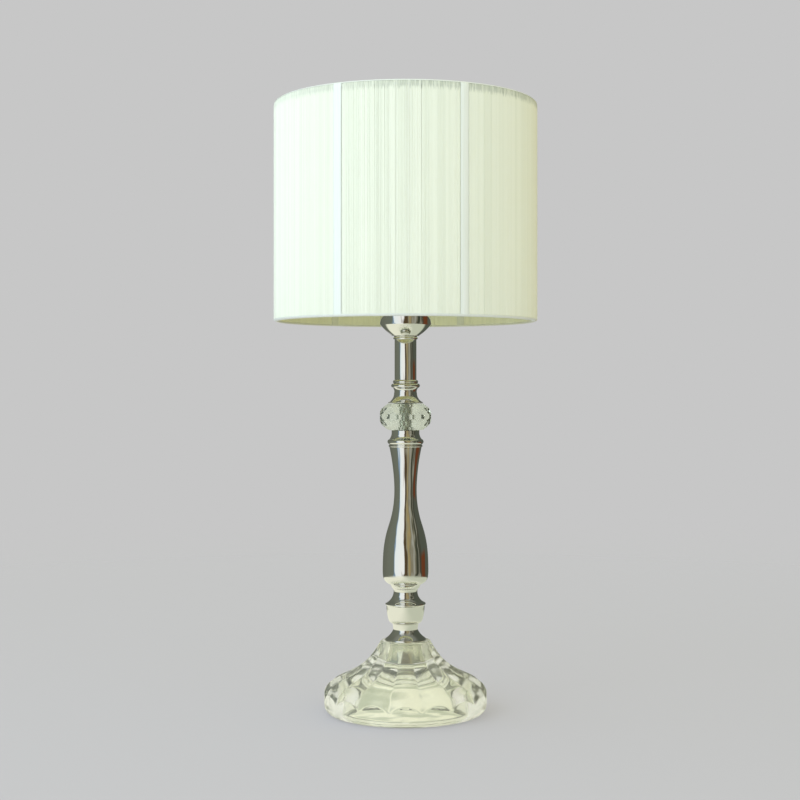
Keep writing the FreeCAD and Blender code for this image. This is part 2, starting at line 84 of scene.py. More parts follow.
def arc(start, middle, end):
    """Points along the arc from start through middle to end."""
    a, b, c = (Vector(p) for p in (start, middle, end))
    d = 2 * (a.x * (b.y - c.y) + b.x * (c.y - a.y) + c.x * (a.y - b.y))
    aa, bb, cc = a.length_squared, b.length_squared, c.length_squared
    centre = Vector((
        (aa * (b.y - c.y) + bb * (c.y - a.y) + cc * (a.y - b.y)) / d,
        (aa * (c.x - b.x) + bb * (a.x - c.x) + cc * (b.x - a.x)) / d,
    ))
    first = math.atan2(a.y - centre.y, a.x - centre.x)
    half = math.remainder(math.atan2(b.y - centre.y, b.x - centre.x) - first, math.tau)
    rest = math.remainder(math.atan2(c.y - centre.y, c.x - centre.x) - first - half, math.tau)
    sweep = half + rest
    radius = (a - centre).length
    count = max(4, int(abs(sweep) / math.radians(7)))
    return [
        centre + radius * Vector((math.cos(first + sweep * k / count), math.sin(first + sweep * k / count)))
        for k in range(1, count + 1)
    ]


def outline(start, *moves, soft=0.25, open_ended=False):
    """A turned outline in (radius, height) millimetres: one point is a straight run, two an arc,
    more a smooth curve. Sharp corners are eased by soft."""
    line = [Vector(start)]
    for move in moves:
        points = [Vector(p) for p in move]
        if len(points) == 2:
            line += arc(line[-1], *points)
        elif len(points) > 2:
            line += through([line[-1]] + points, 1.2)
        else:
            line += points
    closed = not open_ended and (line[0].x > 1e-4 or line[-1].x > 1e-4)
    if closed and (line[0] - line[-1]).length < 1e-3:
        line.pop()
    eased = []
    for i, here in enumerate(line):
        if not closed and i in (0, len(line) - 1):
            eased.append(here)
            continue
        before, after = line[i - 1] - here, line[(i + 1) % len(line)] - here
        if before.angle(-after, 0) < math.radians(18):
            eased.append(here)
            continue
        a = here + before.normalized() * min(soft, 0.4 * before.length)
        b = here + after.normalized() * min(soft, 0.4 * after.length)
        for t in (0, 0.33, 0.67, 1):
            eased.append(a * (1 - t) ** 2 + here * 2 * t * (1 - t) + b * t**2)
    if closed:
        eased.append(eased[0])
    return eased


def lathe(name, points, steps=144):
    """Draws the outline point by point, spins it about Z and closes the skin."""
    bpy.ops.object.select_all(action="DESELECT")
    bpy.ops.mesh.primitive_plane_add(size=MM)
    piece = bpy.context.object
    piece.name = piece.data.name = name
    bpy.ops.object.mode_set(mode="EDIT")
    bpy.ops.mesh.merge(type="CENTER")
    bpy.ops.transform.translate(value=(points[0].x * MM, 0, points[0].y * MM))
    for here, there in zip(points, points[1:]):
        step = there - here
        bpy.ops.mesh.extrude_vertices_move(TRANSFORM_OT_translate={"value": (step.x * MM, 0, step.y * MM)})
    bpy.ops.mesh.select_all(action="SELECT")
    bpy.ops.mesh.remove_doubles(threshold=1e-6)
    bpy.ops.mesh.spin(steps=steps, angle=math.tau, center=(0, 0, 0), axis=(0, 0, 1))
    bpy.ops.mesh.select_all(action="SELECT")
    bpy.ops.mesh.remove_doubles(threshold=2e-6)
    bpy.ops.mesh.normals_make_consistent(inside=False)
    bpy.ops.object.mode_set(mode="OBJECT")
    bpy.ops.object.shade_smooth_by_angle(angle=math.radians(30))
    return piece


def fit(piece, body, slot, *nodes):
    """The piece moves with its body and stands for these nodes of the frame."""
    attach(piece, body)
    if nodes:
        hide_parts(*nodes)
    return piece


def new_finish(name, colour, **values):
    """A material with its plain values set on the shader's own sockets."""
    finish = bpy.data.materials.new(name)
    finish.use_nodes = True
    shader = finish.node_tree.nodes["Principled BSDF"]
    shader.inputs["Base Color"].default_value = (*colour, 1)
    for socket, value in values.items():
        shader.inputs[socket.replace("_", " ")].default_value = value
    return finish


def mottle(finish, scale, stretch=(1, 1, 1), detail=3.0):
    """A noise over the piece's own coordinates."""
    nodes, links = finish.node_tree.nodes, finish.node_tree.links
    where = nodes.new("ShaderNodeTexCoord")
    turn = nodes.new("ShaderNodeMapping")
    turn.inputs["Scale"].default_value = stretch
    noise = nodes.new("ShaderNodeTexNoise")
    noise.inputs["Scale"].default_value = scale
    noise.inputs["Detail"].default_value = detail
    links.new(where.outputs["Object"], turn.inputs["Vector"])
    links.new(turn.outputs["Vector"], noise.inputs["Vector"])
    return noise.outputs["Fac"]


def vary(finish, socket, source, low, high):
    """Drives one socket of the shader between two values."""
    nodes, links = finish.node_tree.nodes, finish.node_tree.links
    spread = nodes.new("ShaderNodeMapRange")
    spread.inputs["From Min"].default_value = 0.3
    spread.inputs["From Max"].default_value = 0.7
    spread.inputs["To Min"].default_value = low
    spread.inputs["To Max"].default_value = high
    links.new(source, spread.inputs["Value"])
    links.new(spread.outputs["Result"], nodes["Principled BSDF"].inputs[socket])


def tint(finish, source, first, second):
    """Runs the base colour from one colour to another."""
    nodes, links = finish.node_tree.nodes, finish.node_tree.links
    ramp = nodes.new("ShaderNodeValToRGB")
    ramp.color_ramp.elements[0].position = 0.3
    ramp.color_ramp.elements[0].color = (*first, 1)
    ramp.color_ramp.elements[1].position = 0.7
    ramp.color_ramp.elements[1].color = (*second, 1)
    links.new(source, ramp.inputs["Fac"])
    links.new(ramp.outputs["Color"], nodes["Principled BSDF"].inputs["Base Color"])


def relief(finish, source, depth, strength=1.0):
    """Raises the surface by a texture, depth in metres."""
    nodes, links = finish.node_tree.nodes, finish.node_tree.links
    bump = nodes.new("ShaderNodeBump")
    bump.inputs["Strength"].default_value = strength
    bump.inputs["Distance"].default_value = depth
    links.new(source, bump.inputs["Height"])
    links.new(bump.outputs["Normal"], nodes["Principled BSDF"].inputs["Normal"])


def dress(finish, *nodes):
    """Gives nodes of the frame their finish."""
    for name in nodes:
        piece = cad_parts[name]
        if not piece.material_slots:
            piece.data.materials.append(finish)
        for place in piece.material_slots:
            place.material = finish


pressed_glass = new_finish(
    "pressed_glass", (0.975, 0.985, 0.88), Roughness=0.02, IOR=1.5, Transmission_Weight=0.90
)
vary(pressed_glass, "Roughness", mottle(pressed_glass, 60), 0.0, 0.05)
relief(pressed_glass, mottle(pressed_glass, 55, detail=1.0), 0.0004, 0.5)

RIM_RADIUS = 77.0
RIM_EDGE = 8.0
SHOULDER_Z = 62.0


def envelope(z):
    """The turned outside that clips the flutes, as a radius at height z."""
    if z < RIM_EDGE:
        return RIM_RADIUS - RIM_EDGE + math.sqrt(max(0, RIM_EDGE**2 - (RIM_EDGE - z) ** 2))
    return RIM_RADIUS if z < SHOULDER_Z else 30 - 5.8 * (z - SHOULDER_Z) / 3.8


curve = np.array([FOOT_STATIONS[0]] + [tuple(p) for p in through(FOOT_STATIONS, 0.4)])
heights = [0.0, 0.2, 0.6, 1.2, 2.0, 3.0, 4.2, 5.6, 7.0, 8.0] + list(np.arange(8.6, 65.5, 0.62)) + [65.8]
crests = np.interp(heights, curve[::-1, 0], curve[::-1, 1])
insets = np.interp(heights, curve[::-1, 0], curve[::-1, 2])
flank = [Vector((min(envelope(z), c), z)) for z, c in zip(heights, crests)]
lip = arc(flank[-1], (23.4, 67.4), (21.8, 68.0))
lip += [Vector(p) for p in ((20.1, 68.0), (19.9, 67.8), (19.9, 66.0))]
hollow = outline(
    (16.5, 66.0),
    [(16.3, 65.8)],
    [(16.3, 61.0)],
    [(17.3, 54.0), (19.3, 45.6)],
    [(22.2, 45.6)],
    [(23.0, 44.2), (28.0, 41.0), (42.0, 34.8), (52.0, 28.0), (56.6, 18.0), (58.0, 9.0)],
    [(59.4, 0)],
    soft=0.5,
    open_ended=True,
)
foot = lathe("foot_glass", flank + lip + hollow + flank[:1], steps=FLUTES * 20)
half_flute = math.pi / FLUTES
for v in foot.data.vertices:
    radius, z = math.hypot(v.co.x, v.co.y) / MM, v.co.z / MM
    on_flank = 8.3 < z < 65.79 and radius > np.interp(z, heights, [p.x for p in flank]) - 0.2
    if not on_flank:
        continue
    crest, inset = np.interp(z, heights, crests), np.interp(z, heights, insets)
    across = math.remainder(math.atan2(v.co.y, v.co.x) + math.pi / 2, 2 * half_flute)
    valley = crest - inset
    centre = (crest**2 - valley**2) / (2 * (crest - valley * math.cos(half_flute)))
    fluted = centre * math.cos(across) + math.sqrt((crest - centre) ** 2 - (centre * math.sin(across)) ** 2)
    pull = min(1.0, fluted / radius)
    v.co.x *= pull
    v.co.y *= pull

NOTCH_RADIUS = 4.0
NOTCH_Z = 3.0
bpy.ops.object.select_all(action="DESELECT")
bpy.ops.mesh.primitive_cylinder_add(
    vertices=48,
    radius=NOTCH_RADIUS * MM,
    depth=40 * MM,
    location=(0, 72 * MM, NOTCH_Z * MM),
    rotation=(math.pi / 2, 0, 0),
)
notch_tool = bpy.context.object
bpy.ops.object.transform_apply(location=True, rotation=True, scale=True)
for v in notch_tool.data.vertices:
    if v.co.z < NOTCH_Z * MM:
        v.co.x = math.copysign(NOTCH_RADIUS * MM, v.co.x) if abs(v.co.x) > 0.2 * MM else 0
        v.co.z = min(v.co.z, 2.9 * MM) - 5 * MM
cut = foot.modifiers.new("cord_notch", "BOOLEAN")
cut.object = notch_tool
cut.operation = "DIFFERENCE"
cut.solver = "EXACT"
bpy.context.view_layer.objects.active = foot
bpy.ops.object.modifier_apply(modifier="cord_notch")
bpy.data.objects.remove(notch_tool)
foot.data.materials.append(pressed_glass)
fit(foot, "stand", "foot_glass", "base_glass")


# ---------------------------------------------------------------------------
# What clamps the foot: soft clear gaskets on both faces of the glass, a bright
# spun bell under it, a washer and nut on the lamp pipe, and a plastic bush in
# the pipe's mouth.
clear_gasket = new_finish(
    "clear_gasket", (0.80, 0.82, 0.76), Roughness=0.35, IOR=1.45, Transmission_Weight=0.6
)
vary(clear_gasket, "Roughness", mottle(clear_gasket, 300), 0.25, 0.45)
dress(clear_gasket, "foot_gasket", "cone_gasket", "crystal_washers")

chrome = new_finish("mirror_chrome", (0.80, 0.80, 0.78), Metallic=1.0, Roughness=0.03)
vary(chrome, "Roughness", mottle(chrome, 90), 0.015, 0.055)
relief(chrome, mottle(chrome, 42, detail=1.0), 0.00012, 0.35)

zinc_steel = new_finish("zinc_steel", (0.60, 0.60, 0.57), Metallic=1.0, Roughness=0.3)
tint(zinc_steel, mottle(zinc_steel, 260), (0.52, 0.52, 0.48), (0.68, 0.68, 0.66))
vary(zinc_steel, "Roughness", mottle(zinc_steel, 180), 0.22, 0.42)
dress(zinc_steel, "base_washer", "base_nut", "cup_nut", "terminal_screws")

PIPE_BORE = 5.3
bell = lathe(
    "bright_bell",
    outline(
        (PIPE_BORE, 66.2),
        [(13.9, 66.2)],
        [(15.0, 65.7), (15.4, 64.6)],
        [(16.3, 55.0), (18.5, 45.9)],
        [(18.8, 44.9)],
        [(21.3, 44.9)],
        [(21.3, 44.1)],
        [(18.0, 44.1)],
        [(17.7, 45.7)],
        [(15.5, 55.0), (14.6, 64.4)],
        [(14.3, 65.1), (13.6, 65.4)],
        [(PIPE_BORE, 65.4)],
    ),
)
bell.data.materials.append(chrome)
fit(bell, "stand", "chrome", "inner_cone")

PIPE_PITCH = 1.0
threaded_steel = new_finish("threaded_steel", (0.58, 0.57, 0.52), Metallic=1.0, Roughness=0.28)
ridges = threaded_steel.node_tree.nodes.new("ShaderNodeTexWave")
ridges.bands_direction = "Z"
ridges.inputs["Scale"].default_value = math.tau / (20 * PIPE_PITCH * MM)
where = threaded_steel.node_tree.nodes.new("ShaderNodeTexCoord")
threaded_steel.node_tree.links.new(where.outputs["Object"], ridges.inputs["Vector"])
relief(threaded_steel, ridges.outputs["Fac"], 0.0002, 0.6)
dress(threaded_steel, "threaded_pipe")

white_plastic = new_finish("white_plastic", (0.84, 0.83, 0.78), Roughness=0.32)
tint(white_plastic, mottle(white_plastic, 40), (0.82, 0.81, 0.75), (0.87, 0.86, 0.81))
vary(white_plastic, "Roughness", mottle(white_plastic, 500), 0.28, 0.4)
dress(white_plastic, "pipe_bushing")


# ---------------------------------------------------------------------------
# Turned stem below the crystal: a trumpet ferrule on the glass, a cup-shaped
# knob, the hollow baluster and a beaded collar. All are turned metal, polished
# and chromed, and the lamp pipe through them pulls them together.
KNOB_FOOT = 83.7
BALUSTER_FOOT = 114.0
COLLAR_FOOT = 251.4


def raised(z, *points):
    """Points given by their radius and their height above z."""
    return [(r, z + h) for r, h in points]


def chrome_piece(node, points, steps=144):
    """Spins a chromed piece of the stem that stands for one node of the frame."""
    piece = lathe(node + "_turned", points, steps)
    piece.data.materials.append(chrome)
    return fit(piece, "stand", "chrome", node)


chrome_piece(
    "base_ferrule",
    outline(
        (PIPE_BORE, 66.7),
        [(18.0, 66.7)],
        [(19.4, 68.4), (18.6, 69.9)],
        [(14.3, 73.7), (11.6, 77.9)],
        [(11.7, 79.9), (12.4, KNOB_FOOT)],
        [(PIPE_BORE, KNOB_FOOT)],
    ),
)
chrome_piece(
    "knob_link",
    outline(
        (PIPE_BORE, KNOB_FOOT),
        [(12.4, KNOB_FOOT)],
        [(14.9, 85.3), (16.5, 88.5)],
        [(17.6, 93.7), (18.2, 101.1)],
        [(19.1, 101.9)],
        [(19.1, 103.1)],
        [(13.7, 107.1), (11.3, BALUSTER_FOOT)],
        [(PIPE_BORE, BALUSTER_FOOT)],
    ),
)
chrome_piece(
    "baluster",
    outline(
        (PIPE_BORE, BALUSTER_FOOT),
        [(11.3, BALUSTER_FOOT)],
        raised(BALUSTER_FOOT, (11.5, 1.8), (12.1, 3.2)),
        raised(BALUSTER_FOOT, (12.9, 3.4)),
        raised(BALUSTER_FOOT, (13.7, 5.4), (15.1, 7.3)),
        raised(BALUSTER_FOOT, (16.0, 7.4)),
        raised(BALUSTER_FOOT, (19.7, 10.4), (21.45, 14.2)),
        raised(
            BALUSTER_FOOT,
            (21.75, 18.0),
            (21.75, 24.0),
            (21.55, 31.0),
            (20.15, 46.0),
            (17.45, 58.2),
            (14.45, 68.0),
            (11.55, 82.0),
            (10.65, 96.0),
            (11.65, 114.0),
            (13.55, 128.0),
            (15.35, 137.4),
        ),
        [(PIPE_BORE, COLLAR_FOOT)],
    ),
    steps=192,
)
chrome_piece(
    "crystal_collar",
    outline(
        (PIPE_BORE, COLLAR_FOOT),
        [(15.7, COLLAR_FOOT)],
        raised(COLLAR_FOOT, (16.2, 0.8), (15.7, 1.7)),
        raised(COLLAR_FOOT, (15.3, 2.3)),
        raised(COLLAR_FOOT, (17.2, 4.9), (15.3, 7.5)),
        raised(COLLAR_FOOT, (13.9, 9.9), (13.2, 12.8)),
        [(13.2, 267.2)],
        [(PIPE_BORE, 267.2)],
    ),
)


# ---------------------------------------------------------------------------
# Crystal: clear glass ground with rows of flat facets, each row half a facet
# round from the next, and drilled for the pipe, which shows through it.
# The frame's own solid has the facets and stays.
cut_crystal = new_finish(
    "cut_crystal", (0.71, 0.755, 0.645), Roughness=0.0, IOR=1.55, Transmission_Weight=0.87
)
vary(cut_crystal, "Roughness", mottle(cut_crystal, 120), 0.0, 0.012)
dress(cut_crystal, "crystal")


# ---------------------------------------------------------------------------
# Turned stem above the crystal: a waisted spool, a plain tube, a ring, and the
# thin spun cup that hides the lampholder's foot. Chromed like the rest.
SPOOL_FOOT = 293.0
TUBE_TOP = 353.4
CUP_FOOT = 356.7

chrome_piece(
    "spool",
    outline(
        (PIPE_BORE, SPOOL_FOOT),
        [(16.2, SPOOL_FOOT)],
        raised(SPOOL_FOOT, (16.6, 0.4), (16.2, 0.9)),
        raised(SPOOL_FOOT, (12.4, 4.2), (10.9, 9.4)),
        raised(SPOOL_FOOT, (11.0, 12.8), (12.3, 14.6)),
        raised(SPOOL_FOOT, (13.7, 16.6), (12.3, 18.4)),
        raised(SPOOL_FOOT, (11.2, 18.7)),
        raised(SPOOL_FOOT, (12.0, 20.4), (10.6, 22.0)),
        raised(SPOOL_FOOT, (9.35, 22.0)),
        raised(SPOOL_FOOT, (9.35, 26.0)),
        raised(SPOOL_FOOT, (PIPE_BORE, 26.0)),
    ),
)
chrome_piece(
    "neck_tube",
    outline((9.4, 315.0), [(10.4, 315.0)], [(10.4, TUBE_TOP)], [(9.4, TUBE_TOP)], soft=0.15),
)
chrome_piece(
    "neck_ring",
    outline(
        (PIPE_BORE, 349.4),
        [(9.35, 349.4)],
        [(9.35, TUBE_TOP)],
        [(11.1, TUBE_TOP)],
        raised(TUBE_TOP, (11.6, 1.1), (11.2, 2.3)),
        raised(TUBE_TOP, (10.9, 2.6)),
        [(10.9, CUP_FOOT)],
        [(PIPE_BORE, CUP_FOOT)],
    ),
)
chrome_piece(
    "socket_cup",
    outline(
        (PIPE_BORE, CUP_FOOT),
        [(12.2, CUP_FOOT)],
        raised(CUP_FOOT, (12.9, 0.2), (13.4, 0.8)),
        raised(CUP_FOOT, (20.1, 6.1), (24.0, 10.6)),
        raised(CUP_FOOT, (24.3, 11.6)),
        raised(CUP_FOOT, (24.3, 31.5)),
        raised(CUP_FOOT, (23.8, 32.0), (23.3, 31.5)),
        raised(CUP_FOOT, (23.3, 12.0)),
        raised(CUP_FOOT, (19.3, 7.0), (12.7, 1.8)),
        raised(CUP_FOOT, (9.5, 1.4)),
        raised(CUP_FOOT, (PIPE_BORE, 1.4)),
    ),
    steps=192,
)


# ---------------------------------------------------------------------------
# Lampholder: a moulded white cap and sleeve, the sleeve threaded outside for
# the ring that clamps the shade. Inside sit a glazed ceramic core, the brass
# shell with its rolled thread, and the sprung centre contact.
HOLDER_FOOT = 362.8
CAP_TOP = 386.8


def cut_thread(piece, low, high, pitch, depth, beyond):
    """Raises a screw thread on the walls of a turned piece that lie beyond a radius."""
    for v in piece.data.vertices:
        radius, z = math.hypot(v.co.x, v.co.y) / MM, v.co.z / MM
        if radius < beyond or not low < z < high:
            continue
        fade = min(1.0, (z - low) / pitch, (high - z) / pitch)
        wave = math.cos(math.tau * z / pitch - math.atan2(v.co.y, v.co.x))
        move = 1 + fade * depth * (wave - 1) / 2 / radius
        v.co.x *= move
        v.co.y *= move


def rungs(radius, low, high, step):
    """Straight runs up a wall in short steps, so that a thread can be cut in it."""
    count = int(round(abs(high - low) / step))
    return [[(radius, low + (high - low) * k / count)] for k in range(1, count + 1)]


cap = lathe(
    "holder_cap_moulded",
    outline(
        (5.0, HOLDER_FOOT),
        [(8.6, HOLDER_FOOT)],
        [(8.6, 365.8)],
        raised(HOLDER_FOOT, (16.6, 7.2), (19.4, 15.0)),
        [(19.4, CAP_TOP)],
        [(17.8, CAP_TOP)],
        [(17.8, 378.0)],
        raised(HOLDER_FOOT, (15.2, 8.8), (8.6, 6.0)),
        [(8.6, 371.8)],
        [(5.0, 371.8)],
    ),
    steps=96,
)
cap.data.materials.append(white_plastic)
fit(cap, "stand", "white_plastic", "holder_cap")

sleeve = lathe(
    "holder_sleeve_moulded",
    outline(
        (17.8, CAP_TOP),
        [(19.4, CAP_TOP)],
        [(19.4, 393.0)],
        [(22.6, 395.6)],
        [(23.2, 396.2)],
        [(23.2, 398.0)],
        [(19.9, 398.0)],
        *rungs(19.9, 398.0, 420.0, 0.3),
        [(18.9, 421.0)],
        [(14.9, 421.0)],
        [(14.9, 419.4)],
        [(17.8, 419.4)],
        soft=0.2,
    ),
    steps=128,
)
cut_thread(sleeve, low=399.0, high=420.0, pitch=2.4, depth=0.7, beyond=19.5)
sleeve.data.materials.append(white_plastic)
fit(sleeve, "stand", "white_plastic", "holder_sleeve")

ceramic = new_finish(
    "glazed_ceramic", (0.82, 0.81, 0.76), Roughness=0.15, Coat_Weight=0.6, Coat_Roughness=0.06
)
tint(ceramic, mottle(ceramic, 120), (0.79, 0.78, 0.72), (0.86, 0.85, 0.80))
vary(ceramic, "Roughness", mottle(ceramic, 80), 0.12, 0.3)
dress(ceramic, "holder_core")

shell_brass = new_finish("shell_brass", (0.75, 0.60, 0.32), Metallic=1.0, Roughness=0.25)
tint(shell_brass, mottle(shell_brass, 150), (0.68, 0.53, 0.27), (0.80, 0.66, 0.38))
vary(shell_brass, "Roughness", mottle(shell_brass, 220), 0.18, 0.36)
dress(shell_brass, "centre_contact", "lamp_shell")

GRIPS = 36
GRIP_DEPTH = 0.35
clamp = lathe(
    "clamp_ring_moulded",
    outline(
        (20.0, 399.6),
        [(27.5, 399.6)],
        [(27.5, 401.0)],
        [(24.2, 401.5), (22.9, 404.2)],
        [(22.9, 406.8)],
        [(22.1, 407.6)],
        [(20.0, 407.6)],
        soft=0.3,
    ),
    steps=216,
)
for v in clamp.data.vertices:
    radius = math.hypot(v.co.x, v.co.y) / MM
    if radius > 26.5:
        grip = 1 - GRIP_DEPTH / radius * (0.5 + 0.5 * math.cos(GRIPS * math.atan2(v.co.y, v.co.x)))
        v.co.x *= grip
        v.co.y *= grip
clamp.data.materials.append(white_plastic)
fit(clamp, "clamp_ring", "white_plastic", "shade_ring")


# ---------------------------------------------------------------------------
# Bulb: an opal glass envelope cemented into an aluminium screw cap, with a
# black glass insulator and a soldered tip. It isn't lit.
# Heights of the envelope count from BULB_Z.
BULB_Z = 396.0
opal_glass = new_finish(
    "opal_glass",
    (0.90, 0.89, 0.85),
    Roughness=0.22,
    Subsurface_Weight=0.3,
    Coat_Weight=0.5,
    Coat_Roughness=0.05,
)
tint(opal_glass, mottle(opal_glass, 30), (0.88, 0.87, 0.82), (0.92, 0.91, 0.88))
vary(opal_glass, "Roughness", mottle(opal_glass, 70), 0.18, 0.28)
envelope_glass = lathe(
    "bulb_envelope",
    outline(
        (13.7, 420.0),
        raised(BULB_Z, (14.6, 32.0), (18.6, 42.0), (26.6, 55.0), (30.0, 69.0)),
        raised(BULB_Z, (26.6, 89.0), (15.4, 99.8), (0, 104.0)),
        raised(BULB_Z, (0, 103.2)),
        raised(BULB_Z, (14.9, 99.1), (25.8, 88.6), (29.2, 69.0)),
        raised(BULB_Z, (25.8, 55.0), (17.8, 42.0), (13.8, 32.0), (12.9, 24.0)),
        soft=0.1,
    ),
    steps=128,
)
envelope_glass.data.materials.append(opal_glass)
fit(envelope_glass, "bulb", "opal_glass", "bulb_glass")

cap_aluminium = new_finish("cap_aluminium", (0.74, 0.74, 0.75), Metallic=1.0, Roughness=0.3)
tint(cap_aluminium, mottle(cap_aluminium, 200), (0.68, 0.68, 0.69), (0.80, 0.80, 0.81))
vary(cap_aluminium, "Roughness", mottle(cap_aluminium, 150), 0.22, 0.38)
screw_cap = lathe(
    "bulb_screw_cap",
    outline(
        (0, 400.6),
        [(10.4, 400.6)],
        [(12.4, 401.2), (13.0, 403.0)],
        *rungs(13.0, 403.0, 417.5, 0.35),
        [(14.3, 419.5)],
        [(14.3, 424.0)],
        [(13.7, 424.0)],
        [(13.7, 419.8)],
        *rungs(12.4, 417.8, 403.2, 0.35),
        [(12.0, 401.6), (10.4, 401.2)],
        [(0, 401.2)],
        soft=0.1,
    ),
    steps=96,
)
cut_thread(screw_cap, low=402.6, high=417.8, pitch=3.63, depth=0.9, beyond=12.2)
screw_cap.data.materials.append(cap_aluminium)
fit(screw_cap, "bulb", "cap_aluminium", "bulb_cap")

black_insulator = new_finish("black_insulator", (0.02, 0.02, 0.025), Roughness=0.12)
vary(black_insulator, "Roughness", mottle(black_insulator, 200), 0.08, 0.2)
dress(black_insulator, "bulb_insulator")
dress(zinc_steel, "bulb_tip")


# ---------------------------------------------------------------------------
# Shade frame: two wire rings, six uprights, and a flat carrier ring with three
# arms that sits on the lampholder, all welded and dipped in white paint.
white_wire = new_finish("white_wire", (0.82, 0.82, 0.76), Roughness=0.4, Coat_Weight=0.3, Coat_Roughness=0.2)
tint(white_wire, mottle(white_wire, 90), (0.78, 0.78, 0.71), (0.85, 0.85, 0.80))
relief(white_wire, mottle(white_wire, 400), 0.0001, 0.4)
dress(white_wire, "carrier_ring", "carrier_arms", "top_ring", "bottom_ring")


# ---------------------------------------------------------------------------
# String: one ivory thread wound round and round over both rings, some thirteen
# hundred turns side by side. They lie a little unevenly, and the uprights
# part them into six panels. Each turn is drawn with its own lean and wander.
RING_RADIUS = 122.2
TOP_RING_Z = 573.1
BOTTOM_RING_Z = 372.9
STRUT_ANGLES = [bearing - 90 for bearing in (-86.0, -28.7, 24.6, 88.0, 152.0, 216.6)]
THREAD_RADIUS = 0.34
THREAD_PITCH = 0.56
THREAD_LAY = 2.2
THREAD_WANDER = 0.16
RIBBON_WIDTH = 7.8
chance = np.random.default_rng(11)

string = new_finish("ivory_string", (0.92, 0.93, 0.79), Roughness=0.5, Sheen_Weight=0.2, Sheen_Roughness=0.4)
tone = string.node_tree.nodes.new("ShaderNodeAttribute")
tone.attribute_name = "thread_tone"
tint(string, tone.outputs["Fac"], (0.89, 0.905, 0.76), (0.94, 0.95, 0.81))
vary(string, "Roughness", mottle(string, 900, stretch=(1, 1, 0.05)), 0.4, 0.6)


def tint_where(finish, source, colour):
    """Multiplies the base colour by another where the source is high."""
    nodes, links = finish.node_tree.nodes, finish.node_tree.links
    base = nodes["Principled BSDF"].inputs["Base Color"]
    mix = nodes.new("ShaderNodeMix")
    mix.data_type = "RGBA"
    mix.blend_type = "MULTIPLY"
    mix.inputs["B"].default_value = (*colour, 1)
    links.new(source, mix.inputs["Factor"])
    links.new(base.links[0].from_socket, mix.inputs["A"])
    links.new(mix.outputs["Result"], base)


# Painted shade: the inner runs of string are darker and yellower, for the dim light filtered through the
# shade.
inner_shade = string.node_tree.nodes.new("ShaderNodeAttribute")
inner_shade.attribute_name = "inner_shade"
tint_where(string, inner_shade.outputs["Fac"], (0.93, 0.91, 0.70))
# Under the top ring the string is greyer: partly the wire showing through, partly painted shade.
wire_and_shade = string.node_tree.nodes.new("ShaderNodeAttribute")
wire_and_shade.attribute_name = "wire_and_shade"
tint_where(string, wire_and_shade.outputs["Fac"], (0.60, 0.62, 0.60))


# A turn has a few points round each ring, a few along each run between them, and six sides.
ROUND = 8
RUN = 6
RINGS = 2 * (ROUND + RUN)
SIDES = 6


def turn_of_string(angle):
    """The path of one turn over both rings: points, and the direction out from the wires."""
    lay = THREAD_LAY + chance.uniform(-0.025, 0.025)
    over = np.radians(np.linspace(0, 180, ROUND))
    under = np.radians(np.linspace(180, 360, ROUND))
    up = np.linspace(BOTTOM_RING_Z, TOP_RING_Z - 6.6, RUN - 1)[1:]
    up = np.append(up, (TOP_RING_Z - 4.6, TOP_RING_Z - 2.6))
    down = up[::-1]
    outward = np.concatenate([np.cos(over), -np.ones(RUN), np.cos(under), np.ones(RUN)])
    upward = np.concatenate([np.sin(over), np.zeros(RUN), np.sin(under), np.zeros(RUN)])
    height = np.concatenate([np.full(ROUND, TOP_RING_Z), down, np.full(ROUND, BOTTOM_RING_Z), up])
    radius = RING_RADIUS + lay * outward
    height = height + lay * upward
    wander = np.zeros(RINGS)
    wander[ROUND : ROUND + RUN] = chance.normal(0, THREAD_WANDER * 0.4, RUN)
    wander[-RUN:] = np.linspace(0, chance.normal(0, THREAD_WANDER * 0.4), RUN)
    wander[-RUN:] += chance.normal(0, THREAD_WANDER * 0.1, RUN)
    turn = angle + wander / RING_RADIUS
    return radius, height, turn, outward, upward


